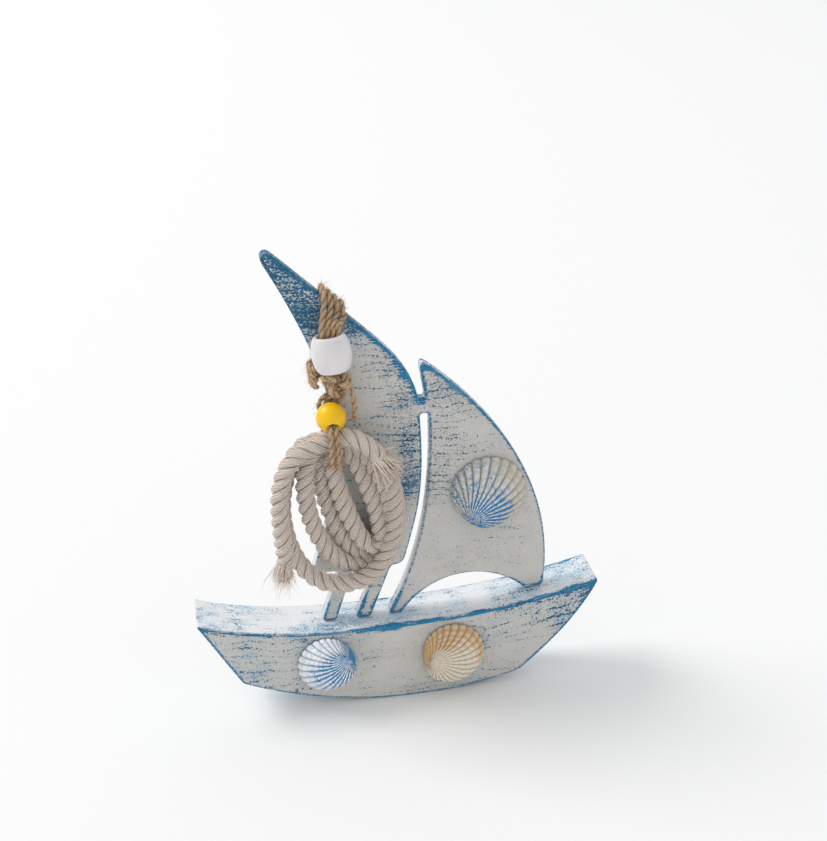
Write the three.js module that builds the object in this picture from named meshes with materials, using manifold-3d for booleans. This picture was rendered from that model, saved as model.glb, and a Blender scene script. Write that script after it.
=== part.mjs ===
// Wooden sailing-boat ornament: a rocker hull, a sawn sail board on four feet, three glued
// cockle shells, and a rope coil that hangs from the sail on jute twine with two beads.
// Millimetres, +Z up, +X towards the stern, -Y towards the side that carries the shells.
// The origin is on the flat under the hull, at mid-length and mid-thickness.

import * as THREE from 'three';
import * as BufferGeometryUtils from 'three/addons/utils/BufferGeometryUtils.js';
import Module from 'manifold-3d';

const wasm = await Module();
wasm.setup();

// ---- driving dimensions -------------------------------------------------

const gap = 0.3; // clearance between pieces that touch

const hull = {
  halfLength: 72, // deck corner to mid-length
  thickness: 20,
  deckCorner: 38.8, // height of the two deck corners
  deckDip: 8.7, // how far the deck sags between them
  dipPower: 2.5, // flatness of the sag
  dipSkew: 0.17, // shifts the lowest point towards the bow
  keelRadius: 145,
  keelMiddle: 4, // where the rocker is lowest
  flat: 24, // length sanded flat so that the boat stands
  bowKnuckle: -57.4, // where the bow rake meets the rocker
  sternKnuckle: 42,
  edge: 0.9, // rounding of the long edges
};

const board = {
  thickness: 5,
  edge: 0.45,
  mainFoot: 50, // bottom of the main sail
  bridgeLow: 107,
  bridgeHigh: 112.2,
  tipHeight: 167.4,
  tipRadius: 1.9,
};

// Feet of the sail board: deck positions of their two corners, and the rise of their sides.
const struts = [
  { left: -27.5, right: -22.4, lean: 0.36 },
  { left: -15.3, right: -10.1, lean: 0.41 },
];
const arch = { middle: 25.4, centreHeight: 14.4, radius: 29 };

const brad = { diameter: 1.4, hole: 2, inHull: 8, inFoot: 6 };

// Cockle shells: centre on the wood, face they are glued to, span, dome height, turn of the hinge.
const shells = [
  { name: 'shell_sail', centre: [32.4, 74.5], face: -board.thickness / 2, span: 26.5, dome: 7, turn: 232 },
  { name: 'shell_hull_bow', centre: [-26.8, 18.4], face: -hull.thickness / 2, span: 21, dome: 7, turn: 38 },
  { name: 'shell_hull_stern', centre: [16.9, 16.6], face: -hull.thickness / 2, span: 23, dome: 8, turn: 168 },
];

const barrel = { centre: [-19.7, -9.6, 134.8], length: 12.4, radius: 6.7, end: 4.9, bore: 3.9 };
const ball = { centre: [-21.1, -10.2, 112.4], radius: 5.1, bore: 2.3, tilt: 28 };
const knot = { centre: [-18.6, -8, 123.4], radius: 4.6 };
const twine = { diameter: 1.6, strands: 4, spread: 2, inBore: 1.75 };
const rope = { diameter: 6.4 };
const coil = { middle: [-20.6, 79.3], halfWidth: 21.9, halfHeight: 30.4, front: -15.6, back: -3 };
const waist = { halfHeight: 4.6, front: -15, back: -6.4 };
const rise = { ring: 9, waist: 7.9 }; // middle of the rope bundle below the top of the coil

// ---- colours ------------------------------------------------------------

const paint = (color, roughness) => new THREE.MeshStandardMaterial({ color, roughness, metalness: 0 });
const whitewash = paint(0xd9e2e8, 0.75);
const steel = new THREE.MeshStandardMaterial({ color: 0x9a9a9a, roughness: 0.4, metalness: 1 });
const cockle = paint(0xe6dccb, 0.55);
const glue = paint(0xe8e2cc, 0.35);
const whiteBead = paint(0xe9e3e8, 0.4);
const yellowBead = paint(0xf3bd0b, 0.25);
const jute = paint(0xa07d50, 0.95);
const cotton = paint(0xcdbfae, 0.9);

// ---- shared helpers -----------------------------------------------------

const boat = new THREE.Group();

function add(name, geometry, material, parent = boat) {
  const mesh = new THREE.Mesh(geometry, material);
  mesh.name = name;
  parent.add(mesh);
  return mesh;
}

function toSolid(geometry) {
  const bare = geometry.clone();
  bare.deleteAttribute('normal');
  bare.deleteAttribute('uv');
  const merged = BufferGeometryUtils.mergeVertices(bare, 1e-4);
  return new wasm.Manifold(new wasm.Mesh({
    numProp: 3,
    vertProperties: new Float32Array(merged.attributes.position.array),
    triVerts: new Uint32Array(merged.index.array),
  }));
}

function toGeometry(solid) {
  const mesh = solid.getMesh();
  const geometry = new THREE.BufferGeometry();
  geometry.setAttribute('position', new THREE.BufferAttribute(new Float32Array(mesh.vertProperties), 3));
  geometry.setIndex(new THREE.BufferAttribute(new Uint32Array(mesh.triVerts), 1));
  return geometry;
}

// A plate sawn from plank: an outline in X and Z, centred on Y = 0, with rounded long edges.
// Outline points closer together than the rounding can follow are left out.
function plank(outline, thickness, edge, bevelSegments, curveSegments) {
  const corners = [];
  for (const point of outline.getPoints(curveSegments)) {
    if (corners.every((corner) => corner.distanceTo(point) > edge)) corners.push(point);
  }
  const geometry = new THREE.ExtrudeGeometry(new THREE.Shape(corners), {
    depth: thickness - 2 * edge,
    bevelEnabled: true,
    bevelThickness: edge,
    bevelSize: edge,
    bevelOffset: -edge,
    bevelSegments,
    steps: 1,
  });
  geometry.translate(0, 0, edge - thickness / 2);
  geometry.rotateX(Math.PI / 2);
  return geometry;
}

// A closed tube along a smooth line through the given points.
function cord(points, diameter, sides = 8, pitch = 2.5) {
  const line = new THREE.CatmullRomCurve3(points.map((p) => new THREE.Vector3(...p)), false, 'centripetal');
  const section = new THREE.Shape();
  for (let i = 0; i < sides; i += 1) {
    const a = (2 * Math.PI * i) / sides;
    const move = i === 0 ? 'moveTo' : 'lineTo';
    section[move]((diameter / 2) * Math.cos(a), (diameter / 2) * Math.sin(a));
  }
  section.closePath();
  return new THREE.ExtrudeGeometry(section, {
    steps: Math.max(3, Math.round(line.getLength() / (pitch * diameter))),
    bevelEnabled: false,
    extrudePath: line,
  });
}

// A round rod between two points.
function rod(from, to, diameter, sides = 12) {
  const start = new THREE.Vector3(...from);
  const end = new THREE.Vector3(...to);
  const along = end.clone().sub(start);
  const geometry = new THREE.CylinderGeometry(diameter / 2, diameter / 2, along.length(), sides);
  const turn = new THREE.Quaternion().setFromUnitVectors(new THREE.Vector3(0, 1, 0), along.normalize());
  geometry.applyQuaternion(turn);
  geometry.translate(...start.add(end).multiplyScalar(0.5).toArray());
  return geometry;
}

// ---- hull ---------------------------------------------------------------

// Height of the deck above the ground at a place along the boat.
function deckHeight(x) {
  const u = x / hull.halfLength;
  return hull.deckCorner - hull.deckDip * (1 - Math.abs(u) ** hull.dipPower) * (1 - hull.dipSkew * u);
}

// Height of the rocker under the hull: an arc cut off by the flat it stands on.
function keelHeight(x) {
  const drop = (reach) => hull.keelRadius - Math.sqrt(hull.keelRadius ** 2 - reach ** 2);
  return Math.max(0, drop(x - hull.keelMiddle) - drop(hull.flat / 2));
}

function hullOutline() {
  const { halfLength, deckCorner, bowKnuckle, sternKnuckle, keelMiddle, flat } = hull;
  const deckSteps = 24;
  const keelSteps = 8;
  const shape = new THREE.Shape();
  shape.moveTo(bowKnuckle, keelHeight(bowKnuckle));
  for (let i = 1; i <= keelSteps; i += 1) {
    const x = THREE.MathUtils.lerp(bowKnuckle, keelMiddle - flat / 2, i / keelSteps);
    shape.lineTo(x, keelHeight(x));
  }
  for (let i = 0; i <= keelSteps / 2; i += 1) {
    const x = THREE.MathUtils.lerp(keelMiddle + flat / 2, sternKnuckle, (2 * i) / keelSteps);
    shape.lineTo(x, keelHeight(x));
  }
  shape.bezierCurveTo(55, 14.5, 66.5, 27, halfLength, deckCorner);
  for (let i = 1; i <= deckSteps; i += 1) {
    const x = THREE.MathUtils.lerp(halfLength, -halfLength, i / deckSteps);
    shape.lineTo(x, deckHeight(x));
  }
  shape.closePath();
  return shape;
}

// ---- sail board ---------------------------------------------------------

// One plank: crescent main sail and two struts, a bridge, and the jib on its leg and right foot.
function sailOutline() {
  const { mainFoot, bridgeLow, bridgeHigh, tipHeight, tipRadius } = board;
  const footHeight = (x) => deckHeight(x) + gap;
  const shape = new THREE.Shape();
  shape.moveTo(-39.9, tipHeight - 2.3);
  shape.bezierCurveTo(-14.2, 115.5, -14.6, 93.5, -30.1, mainFoot);
  for (const { left, right, lean } of struts) {
    const rise = mainFoot - footHeight(left);
    shape.lineTo(left + lean * rise, mainFoot);
    shape.lineTo(left, footHeight(left));
    shape.lineTo(right, footHeight(right));
    shape.lineTo(right + lean * rise, mainFoot);
  }
  shape.lineTo(-0.8, mainFoot);
  shape.quadraticCurveTo(2, mainFoot, 2.9, mainFoot + 2.2);
  shape.bezierCurveTo(8.4, 70.5, 11.2, 78.5, 9.9, bridgeLow);
  shape.lineTo(13.2, bridgeLow);
  shape.bezierCurveTo(13.9, 79.5, 9.4, 52.4, -3.6, footHeight(-3.6));
  const reachLow = Math.sqrt(arch.radius ** 2 - (footHeight(1.5) - arch.centreHeight) ** 2);
  const reachHigh = Math.sqrt(arch.radius ** 2 - (footHeight(47) - arch.centreHeight) ** 2);
  const start = Math.atan2(footHeight(1.5) - arch.centreHeight, -reachLow);
  const end = Math.atan2(footHeight(47) - arch.centreHeight, reachHigh);
  shape.lineTo(arch.middle - reachLow, footHeight(1.5));
  shape.absarc(arch.middle, arch.centreHeight, arch.radius, start, end, true);
  shape.lineTo(53, footHeight(53));
  shape.bezierCurveTo(58.5, 72, 38.8, 104, 12.4, 125);
  shape.quadraticCurveTo(10.6, 126, 10.6, 123.9);
  shape.lineTo(12.2, bridgeHigh);
  shape.lineTo(9.6, bridgeHigh);
  shape.quadraticCurveTo(8.4, 123.2, -4, 135.4);
  shape.absarc(-38.3, tipHeight - tipRadius + 0.5, tipRadius, Math.PI / 4, Math.PI, false);
  shape.closePath();
  return shape;
}

// Headless nails that pin the four feet to the deck, each along the lean of its foot.
function bradLines() {
  const feet = [
    ...struts.map(({ left, right, lean }) => ({ x: (left + right) / 2, lean })),
    { x: -0.9, lean: 0.42 },
    { x: 50.3, lean: 0 },
  ];
  return feet.map(({ x, lean }) => {
    const up = new THREE.Vector3(lean, 0, 1).normalize();
    const deck = new THREE.Vector3(x, 0, deckHeight(x));
    return {
      low: deck.clone().addScaledVector(up, -brad.inHull),
      high: deck.clone().addScaledVector(up, brad.inFoot),
      up,
    };
  });
}

function addWood() {
  const hole = (brad.hole - brad.diameter) / 2;
  let block = toSolid(plank(hullOutline(), hull.thickness, hull.edge, 2, 10));
  let sails = toSolid(plank(sailOutline(), board.thickness, board.edge, 1, 14));
  bradLines().forEach(({ low, high, up }, i) => {
    const from = low.clone().addScaledVector(up, -hole).toArray();
    const to = high.clone().addScaledVector(up, hole).toArray();
    const drill = toSolid(rod(from, to, brad.hole, 8));
    block = block.subtract(drill);
    sails = sails.subtract(drill);
    add(`foot_brad_${i + 1}`, rod(low.toArray(), high.toArray(), brad.diameter, 8), steel);
  });
  add('hull', toGeometry(block), whitewash);
  add('sail_board', toGeometry(sails), whitewash);
}

// ---- cockle shells and the glue under them ------------------------------

// A domed fan seen from its hinge: reach of the rim at an angle from the hinge's opposite side.
function rimReach(angle, span) {
  const narrow = 0.5 + 0.5 * Math.cos(angle);
  return span * (0.44 + 0.09 * narrow ** 0.7);
}

// Closed cup of a cockle: an outer dome, an inner dome one wall lower, and a flat rim between them.
function cockleGeometry(span, dome, wall) {
  const around = 28;
  const rings = 7;
  const positions = [];
  const index = [];
  const surface = (scale, height, ring, k) => {
    const angle = (2 * Math.PI * k) / around;
    const t = ring / rings;
    const reach = rimReach(angle, span) * scale * Math.sin((Math.PI / 2) * t);
    const lean = -0.16 * span * (1 - t) ** 1.3; // the beak sits back over the hinge
    return [lean + reach * Math.cos(angle), reach * Math.sin(angle), height * Math.cos((Math.PI / 2) * t) ** 0.9];
  };
  for (const [scale, height] of [[1, dome], [1 - (2.2 * wall) / span, dome - wall]]) {
    positions.push(...surface(scale, height, 0, 0));
    for (let ring = 1; ring <= rings; ring += 1) {
      for (let k = 0; k < around; k += 1) positions.push(...surface(scale, height, ring, k));
    }
  }
  const shellSize = 1 + rings * around;
  const at = (side, ring, k) => side * shellSize + (ring === 0 ? 0 : 1 + (ring - 1) * around + (k % around));
  for (let side = 0; side < 2; side += 1) {
    for (let ring = 0; ring < rings; ring += 1) {
      for (let k = 0; k < around; k += 1) {
        const quad = [at(side, ring, k), at(side, ring + 1, k), at(side, ring + 1, k + 1), at(side, ring, k + 1)];
        if (side === 1) quad.reverse();
        index.push(quad[0], quad[1], quad[2]);
        if (ring > 0) index.push(quad[0], quad[2], quad[3]);
      }
    }
  }
  for (let k = 0; k < around; k += 1) {
    const [a, b] = [at(0, rings, k), at(0, rings, k + 1)];
    const [c, d] = [at(1, rings, k), at(1, rings, k + 1)];
    index.push(a, c, b, b, c, d);
  }
  const geometry = new THREE.BufferGeometry();
  geometry.setAttribute('position', new THREE.Float32BufferAttribute(positions, 3));
  geometry.setIndex(index);
  return geometry;
}

// A blob of set glue that fills the middle of the cup and meets the wood.
function glueGeometry(span, dome, wall) {
  const height = dome - wall - 2 * gap;
  const reach = 0.3 * span;
  const profile = [new THREE.Vector2(0, 0)];
  for (let i = 0; i <= 5; i += 1) {
    const a = (Math.PI / 2) * (i / 5);
    profile.push(new THREE.Vector2(i === 5 ? 0 : reach * Math.cos(a), height * 0.8 * Math.sin(a)));
  }
  const geometry = new THREE.LatheGeometry(profile, 16);
  geometry.rotateX(Math.PI / 2);
  geometry.translate(-0.03 * span, 0, 0);
  return geometry;
}

function addShells() {
  const wall = 1.1;
  for (const { name, centre, face, span, dome, turn } of shells) {
    const seat = new THREE.Group();
    seat.position.set(centre[0], face - gap, centre[1]);
    seat.rotation.set(Math.PI / 2, 0, 0);
    const fan = new THREE.Group();
    fan.rotation.z = THREE.MathUtils.degToRad(turn + 180);
    seat.add(fan);
    boat.add(seat);
    add(name, cockleGeometry(span, dome, wall), cockle, fan);
    add(name.replace('shell', 'glue'), glueGeometry(span, dome, wall), glue, fan);
  }
}

// ---- beads --------------------------------------------------------------

// A turned bead: outer profile from end to end, and a straight bore, about the given axis.
function beadGeometry(outer, bore, axis, centre, sides) {
  const profile = [...outer.map(([r, h]) => new THREE.Vector2(r, h))];
  const low = profile[0].y;
  const high = profile[profile.length - 1].y;
  profile.push(new THREE.Vector2(bore, high), new THREE.Vector2(bore, low), profile[0].clone());
  const geometry = new THREE.LatheGeometry(profile, sides);
  const turn = new THREE.Quaternion().setFromUnitVectors(new THREE.Vector3(0, 1, 0), axis);
  geometry.applyQuaternion(turn);
  geometry.translate(...centre);
  return geometry;
}

function ballAxis() {
  const tilt = THREE.MathUtils.degToRad(ball.tilt);
  return new THREE.Vector3(0, Math.cos(tilt), Math.sin(tilt));
}

function addBeads() {
  const belly = [];
  for (let i = 0; i <= 8; i += 1) {
    const s = i / 4 - 1;
    const bulge = (1 - Math.abs(s) ** 2.6);
    belly.push([barrel.end + (barrel.radius - barrel.end) * bulge, (s * barrel.length) / 2]);
  }
  add('barrel_bead', beadGeometry(belly, barrel.bore, new THREE.Vector3(0, 0, 1), barrel.centre, 24), whiteBead);
  const round = [];
  const mouth = Math.asin((ball.bore + 0.15) / ball.radius);
  for (let i = 0; i <= 10; i += 1) {
    const a = THREE.MathUtils.lerp(-Math.PI / 2 + mouth, Math.PI / 2 - mouth, i / 10);
    round.push([ball.radius * Math.cos(a), ball.radius * Math.sin(a)]);
  }
  add('yellow_bead', beadGeometry(round, ball.bore, ballAxis(), ball.centre, 20), yellowBead);
}

// ---- jute twine ---------------------------------------------------------

// Height of the main sail's sloping upper edge, and place of its hollow front edge.
const slopeHeight = (x) => 167.4 - 0.97 * (x + 37);
const luffPlace = (z) => -24 - 0.055 * (z - 121) ** 1.15;

// Each strand rises through the barrel bead, crosses the sloping edge, comes down behind the
// sail, turns round its hollow edge and ends in the knot.
function strandPoints(i) {
  const side = i - (twine.strands - 1) / 2;
  const [kx, ky, kz] = knot.centre;
  const [px, py, pz] = barrel.centre;
  const half = barrel.length / 2;
  const off = twine.diameter / 2 + gap + 0.2;
  const front = -board.thickness / 2 - off;
  const bore = px + side * twine.inBore;
  const top = px + 2.1 + side * twine.spread;
  const crest = slopeHeight(top) + 1.65 * off;
  const turn = kz + 1.2 - side * twine.spread;
  const luff = luffPlace(turn) - off - 0.5;
  return [
    [bore, py * 0.7 + ky * 0.3, kz + knot.radius + 0.5],
    [bore, py, pz - half + 2],
    [bore, py, pz + half - 1],
    [bore * 0.95 + top * 0.05, py * 0.9 + front * 0.1, pz + half + 2.2],
    [top, front - 0.3, crest - 3.4],
    [top, front + 0.7, crest - 0.4],
    [top, 0, crest + 0.5],
    [top, -front - 0.7, crest - 0.4],
    [top, -front + 0.3, crest - 3.4],
    [top - 0.5, -front + 0.1, (crest + turn) / 2 + 4],
    [top - 3.6, -front + 0.1, turn + 2.6],
    [luff + 2.6, -front, turn + 0.3],
    [luff + 0.4, -front - 1.5, turn],
    [luff, 0, turn],
    [luff + 0.2, front + 1, turn],
    [luff + 1.4, front - 1.6, turn],
  ];
}

// Each strand of the sling leaves the knot, goes in at the back of the yellow bead and out at its
// front, passes under the waist of the coil and returns behind the bead to the knot.
function slingPoints(side) {
  const [kx, ky, kz] = knot.centre;
  const [bx, by, bz] = ball.centre;
  const x = bx + side;
  const axis = ballAxis();
  const threaded = (s) => [x, by + axis.y * s, bz + axis.z * s];
  const off = twine.diameter / 2 + gap + 0.35;
  const low = coil.middle[1] + coil.halfHeight - rise.waist - waist.halfHeight;
  return [
    [kx - 0.6 + side, ky + 1.7, kz - knot.radius - 0.4],
    threaded(ball.radius + 1.4),
    threaded(0),
    threaded(-ball.radius - 1),
    [x, waist.front - off, low + 6.4],
    [x, waist.front - off, low + 2],
    [x, waist.front + 2, low - off],
    [x, waist.back - 2, low - off],
    [x, waist.back + off, low + 2],
    [x + side, waist.back + off + 0.1, low + 6.4],
    [bx + side * 3.1, by + ball.radius + 0.9, bz],
    [bx + side * 3.1, by + ball.radius + 1.1, bz + 3],
    [kx + side * 3.1, ky + 2.6, kz - knot.radius + 0.1],
  ];
}

function addTwine() {
  for (let i = 0; i < twine.strands; i += 1) {
    add(`hanger_strand_${i + 1}`, cord(strandPoints(i), twine.diameter), jute);
  }
  const lump = new THREE.SphereGeometry(knot.radius, 16, 10);
  lump.translate(...knot.centre);
  add('hanger_knot', lump, jute);
  [-1, 1].forEach((side, i) => {
    add(`sling_strand_${i + 1}`, cord(slingPoints(side * 0.97), twine.diameter), jute);
  });

  // Spare end of the twine, hanging from the knot beside the yellow bead.
  const [kx, ky, kz] = knot.centre;
  const spare = [[kx + 4.8, ky - 1.2, kz - 3.2], [kx + 5.6, ky - 1.2, kz - 7.4], [kx + 5.6, ky - 0.6, kz - 12]];
  add('spare_tail', cord(spare, twine.diameter, 8, 1.2), jute);
}

// ---- rope coil ----------------------------------------------------------

// Outer shape of the hanging coil: an oval ring, drawn in to a waist where the sling carries it.
function coilGeometry() {
  const around = 48;
  const ringSides = 10;
  const positions = [];
  const index = [];
  for (let i = 0; i < around; i += 1) {
    const a = (2 * Math.PI * i) / around;
    const pinch = THREE.MathUtils.smoothstep(Math.cos(a), Math.cos(0.6), Math.cos(0.25));
    const wide = THREE.MathUtils.lerp(rise.ring, waist.halfHeight, pinch);
    const back = THREE.MathUtils.lerp(coil.back, waist.back, pinch);
    const front = THREE.MathUtils.lerp(coil.front, waist.front, pinch);
    const reachX = (coil.halfWidth - rise.ring) * Math.sin(a);
    const reachZ = (coil.halfHeight - THREE.MathUtils.lerp(rise.ring, rise.waist, pinch)) * Math.cos(a);
    for (let k = 0; k < ringSides; k += 1) {
      const b = (2 * Math.PI * k) / ringSides;
      const out = wide * Math.cos(b);
      positions.push(
        coil.middle[0] + reachX + out * Math.sin(a),
        (front + back) / 2 + ((back - front) / 2) * Math.sin(b),
        coil.middle[1] + reachZ + out * Math.cos(a),
      );
    }
  }
  for (let i = 0; i < around; i += 1) {
    for (let k = 0; k < ringSides; k += 1) {
      const i1 = (i + 1) % around;
      const k1 = (k + 1) % ringSides;
      const [p, q] = [i * ringSides + k, i1 * ringSides + k];
      const [r, s] = [i1 * ringSides + k1, i * ringSides + k1];
      index.push(p, q, r, p, r, s);
    }
  }
  const geometry = new THREE.BufferGeometry();
  geometry.setAttribute('position', new THREE.Float32BufferAttribute(positions, 3));
  geometry.setIndex(index);
  return geometry;
}

function addCoil() {
  add('rope_coil', coilGeometry(), cotton);

  // The end of the rope that leaves the coil at the lower left. The other end lies in the coil.
  const tail = [[-38.9, -9.5, 57], [-39.8, -9.8, 53.5], [-40.1, -10, 49.4]];
  add('rope_end', cord(tail, rope.diameter * 0.8, 10, 0.6), cotton);
}

addWood();
addShells();
addBeads();
addTwine();
addCoil();

export default boat;
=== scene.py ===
"""Looks of a painted wooden sailing-boat ornament: distressed blue and white wood, ribbed cockle
shells, lacquered beads, jute twine and a hanging coil of three-strand cotton rope.

Lengths in this script are millimetres until piece() puts them into a mesh, in metres.
"""
import math

import bmesh
import bpy
import numpy as np
from mathutils import Matrix, Vector
from mathutils.geometry import delaunay_2d_cdt


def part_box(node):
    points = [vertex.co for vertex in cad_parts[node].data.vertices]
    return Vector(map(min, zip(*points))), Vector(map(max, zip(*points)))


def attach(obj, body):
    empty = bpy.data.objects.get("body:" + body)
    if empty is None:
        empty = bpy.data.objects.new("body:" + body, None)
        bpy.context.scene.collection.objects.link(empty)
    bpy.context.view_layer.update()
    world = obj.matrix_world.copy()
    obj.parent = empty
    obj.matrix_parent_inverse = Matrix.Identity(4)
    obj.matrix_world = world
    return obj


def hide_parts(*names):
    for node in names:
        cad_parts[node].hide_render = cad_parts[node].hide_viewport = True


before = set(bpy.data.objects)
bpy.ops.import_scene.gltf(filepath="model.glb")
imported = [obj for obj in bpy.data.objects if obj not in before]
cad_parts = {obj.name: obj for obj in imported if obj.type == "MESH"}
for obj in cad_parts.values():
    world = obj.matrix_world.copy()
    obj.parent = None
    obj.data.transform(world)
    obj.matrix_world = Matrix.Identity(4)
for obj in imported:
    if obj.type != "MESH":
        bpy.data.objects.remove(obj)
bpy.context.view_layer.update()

MM = 0.001
FULL_TURN = 2 * math.pi
random = np.random.default_rng(7)


# ---- camera, floor and light -------------------------------------------------------------

def add_camera():
    """The camera stands in front of the bow quarter, a little above the sail, and leans by `roll`."""
    azimuth, elevation, roll = math.radians(9.5), math.radians(24), math.radians(-1.9)
    forward = Vector((math.sin(azimuth), math.cos(azimuth), 0)) * math.cos(elevation)
    forward.z = -math.sin(elevation)
    level = Vector((math.cos(azimuth), -math.sin(azimuth), 0))
    above = level.cross(forward)
    right = level * math.cos(roll) + above * math.sin(roll)
    up = above * math.cos(roll) - level * math.sin(roll)
    camera = bpy.data.objects.new("camera", bpy.data.cameras.new("camera"))
    camera.data.lens = 64.2
    camera.data.sensor_width = 36
    turn = Matrix((right, up, -forward)).transposed().to_4x4()
    camera.matrix_world = Matrix.Translation((-0.0689, -0.4601, 0.3114)) @ turn
    bpy.context.scene.collection.objects.link(camera)
    bpy.context.scene.camera = camera


def add_lamp(name, place, size, power, colour=(1, 1, 1)):
    """A square soft lamp that faces the middle of the boat."""
    lamp = bpy.data.lights.new(name, "AREA")
    lamp.size = size
    lamp.energy = power
    lamp.color = colour
    obj = bpy.data.objects.new(name, lamp)
    obj.location = place
    aim = Vector((0, 0, 0.07)) - Vector(place)
    obj.rotation_euler = aim.to_track_quat("-Z", "Y").to_euler()
    bpy.context.scene.collection.objects.link(obj)


def add_studio():
    """White floor, pale surroundings and one broad lamp, high to the left and a little behind."""
    scene = bpy.context.scene
    scene.view_settings.view_transform = "Standard"
    world = bpy.data.worlds.new("studio")
    scene.world = world
    world.use_nodes = True
    background = world.node_tree.nodes["Background"]
    background.inputs["Color"].default_value = (0.97, 0.98, 1, 1)
    background.inputs["Strength"].default_value = 0.76
    add_lamp("window", (-4.3, 2.0, 5.2), 3.6, 240, (1, 0.995, 0.98))
    reach = 9
    mesh = bpy.data.meshes.new("floor")
    corners = [(-reach, -reach, 0), (reach, -reach, 0), (reach, reach, 0), (-reach, reach, 0)]
    mesh.from_pydata(corners, [], [(0, 1, 2, 3)])
    floor = bpy.data.objects.new("floor", mesh)
    scene.collection.objects.link(floor)
    white = bpy.data.materials.new("floor_white")
    white.use_nodes = True
    white.node_tree.nodes["Principled BSDF"].inputs["Base Color"].default_value = (0.9, 0.9, 0.89, 1)
    white.node_tree.nodes["Principled BSDF"].inputs["Roughness"].default_value = 0.9
    mesh.materials.append(white)


# ---- meshes -------------------------------------------------------------------------------

def grid_faces(rows, columns):
    """Quads of a grid of points whose last column joins the first, as an array of corner numbers."""
    row, column = np.meshgrid(np.arange(rows - 1), np.arange(columns), indexing="ij")
    after = (column + 1) % columns
    low, high = row * columns, (row + 1) * columns
    return np.stack([low + column, low + after, high + after, high + column], axis=-1).reshape(-1, 4)


def grid_uv(along, around):
    """UV of each corner of a wrapped grid: `along` for its rows, and 0 to 1 round its columns."""
    rows, columns = len(along), around
    row, column = np.meshgrid(np.arange(rows - 1), np.arange(columns), indexing="ij")
    low, high = np.asarray(along)[row], np.asarray(along)[row + 1]
    left, right = column / columns, (column + 1) / columns
    return np.stack([low, left, low, right, high, right, high, left], axis=-1).reshape(-1, 2)


def face_outward(mesh, weld):
    """Turns every face outward. Welding first joins doubled points, so that seams and poles close."""
    solid = bmesh.new()
    solid.from_mesh(mesh)
    if weld:
        bmesh.ops.remove_doubles(solid, verts=solid.verts, dist=2e-6)
    bmesh.ops.recalc_face_normals(solid, faces=solid.faces)
    solid.to_mesh(mesh)
    solid.free()


def piece(name, points, faces, material, body, uv=None, values=None, weld=True):
    """An object from points in millimetres. uv holds one pair for each face corner, and values
    holds named numbers for each point."""
    mesh = bpy.data.meshes.new(name)
    places = np.asarray(points, float).reshape(-1, 3) * MM
    mesh.from_pydata(places.tolist(), [], [list(face) for face in faces])
    if uv is not None:
        corners = mesh.uv_layers.new(name="UVMap").data
        corners.foreach_set("uv", np.ascontiguousarray(uv, np.float32).ravel())
    for key, value in (values or {}).items():
        numbers = mesh.attributes.new(key, "FLOAT", "POINT").data
        numbers.foreach_set("value", np.ascontiguousarray(value, np.float32).ravel())
    if weld:
        face_outward(mesh, True)
    mesh.polygons.foreach_set("use_smooth", np.ones(len(mesh.polygons), bool))
    mesh.materials.append(material)
    obj = bpy.data.objects.new(name, mesh)
    bpy.context.scene.collection.objects.link(obj)
    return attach(obj, body)


def unit(vectors):
    """The vectors, each scaled to length 1."""
    return vectors / np.linalg.norm(vectors, axis=-1, keepdims=True)


def resample(points, step):
    """Points at about one step apart along a line, and the distance of each from its start."""
    reach = np.concatenate([[0], np.cumsum(np.linalg.norm(np.diff(points, axis=0), axis=1))])
    at = np.linspace(0, reach[-1], max(3, round(reach[-1] / step)) + 1)
    return np.stack([np.interp(at, reach, points[:, k]) for k in range(points.shape[1])], axis=1), at


def smooth_line(points, step):
    """Centripetal Catmull-Rom curve through the points: knots lie at the running sum of the square
    roots of the chords, and each stretch blends its four nearest points linearly, three times over."""
    p = np.asarray(points, float)
    p = np.vstack([2 * p[0] - p[1], p, 2 * p[-1] - p[-2]])
    knots = np.concatenate([[0], np.cumsum(np.linalg.norm(np.diff(p, axis=0), axis=1) ** 0.5)])
    a, b, c, d = p[:-3, None], p[1:-2, None], p[2:-1, None], p[3:, None]
    k0, k1, k2, k3 = (knots[i:len(knots) - 3 + i, None, None] for i in range(4))
    t = k1 + (k2 - k1) * np.linspace(0, 1, 12)[None, :, None]
    ab = ((k1 - t) * a + (t - k0) * b) / (k1 - k0)
    bc = ((k2 - t) * b + (t - k1) * c) / (k2 - k1)
    cd = ((k3 - t) * c + (t - k2) * d) / (k3 - k2)
    abc = ((k2 - t) * ab + (t - k0) * bc) / (k2 - k0)
    bcd = ((k3 - t) * bc + (t - k1) * cd) / (k3 - k1)
    curve = ((k2 - t) * abc + (t - k1) * bcd) / (k2 - k1)
    keep = np.ones(curve.shape[:2], bool)
    keep[:-1, -1] = False
    return resample(curve[keep], step)


def carried_frame(line, start):
    """Two directions square to a line at each of its points, carried along it without twist."""
    tangent = unit(np.gradient(line, axis=0))
    side = np.empty_like(line)
    side[0] = unit(np.cross(tangent[0], start))
    for i in range(1, len(line)):
        side[i] = unit(side[i - 1] - tangent[i] * (tangent[i] @ side[i - 1]))
    return side, np.cross(tangent, side)


def laid_profile(strands, columns, groove):
    """Outline of twisted strands, for an outer radius of 1: equal circles on a ring, seen from its
    middle, so radius = ring * cos(a) + sqrt(strand^2 - (ring * sin(a))^2) with a from the nearest
    circle. The strands press together, which leaves only the share `groove` of the depth between."""
    turn = FULL_TURN * np.arange(columns) / columns
    gap = FULL_TURN / strands
    a = (turn + gap / 2) % gap - gap / 2
    strand = 0.52 if strands == 2 else 0.505
    ring = 1 - strand
    outline = ring * np.cos(a) + np.sqrt(np.maximum(strand ** 2 - (ring * np.sin(a)) ** 2, 0.01))
    return turn, 1 - groove * (1 - outline)


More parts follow.
